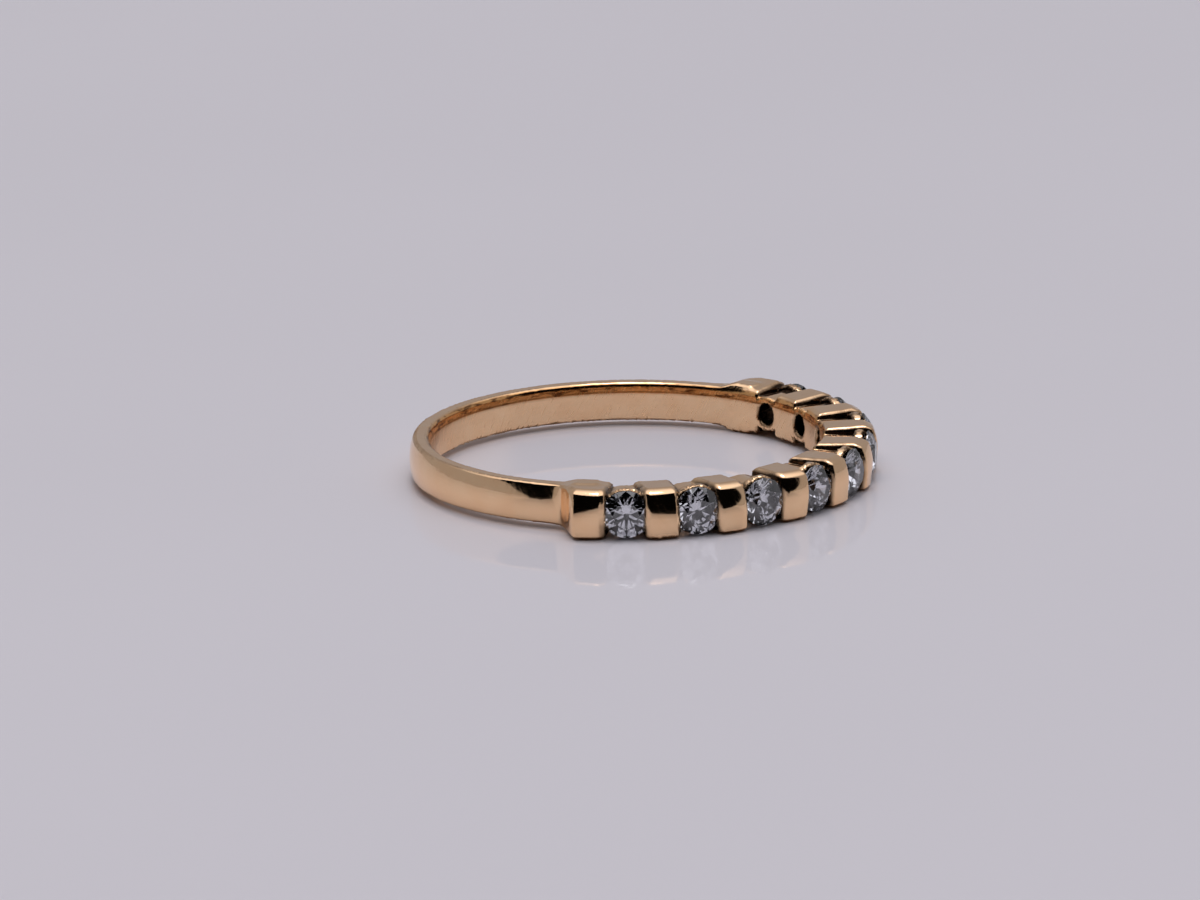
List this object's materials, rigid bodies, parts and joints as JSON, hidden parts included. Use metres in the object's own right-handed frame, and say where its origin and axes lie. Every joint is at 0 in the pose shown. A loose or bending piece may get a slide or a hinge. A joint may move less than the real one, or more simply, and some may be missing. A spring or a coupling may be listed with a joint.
{
  "type": "half eternity ring",
  "caption": "Slim gold ring whose front half is a raised row of round brilliants held between rectangular bars; the back half is a plain shank.",
  "frame": {"origin": "centre of the finger hole, halfway along its width", "axes": "+Z along the finger hole; the row of stones faces -Y with its middle stone on the Y axis; +X completes the right-handed frame"},
  "size_m": [0.0216, 0.0203, 0.0022],
  "materials": {
    "gold": "polished rose-yellow gold",
    "stone": "clear, cut and polished"
  },
  "bodies": {
    "root": {"ring_mount": "gold", "stone_1": "stone", "stone_2": "stone", "stone_3": "stone", "stone_4": "stone", "stone_5": "stone", "stone_6": "stone", "stone_7": "stone", "stone_8": "stone", "stone_9": "stone"}
  },
  "joints": []
}
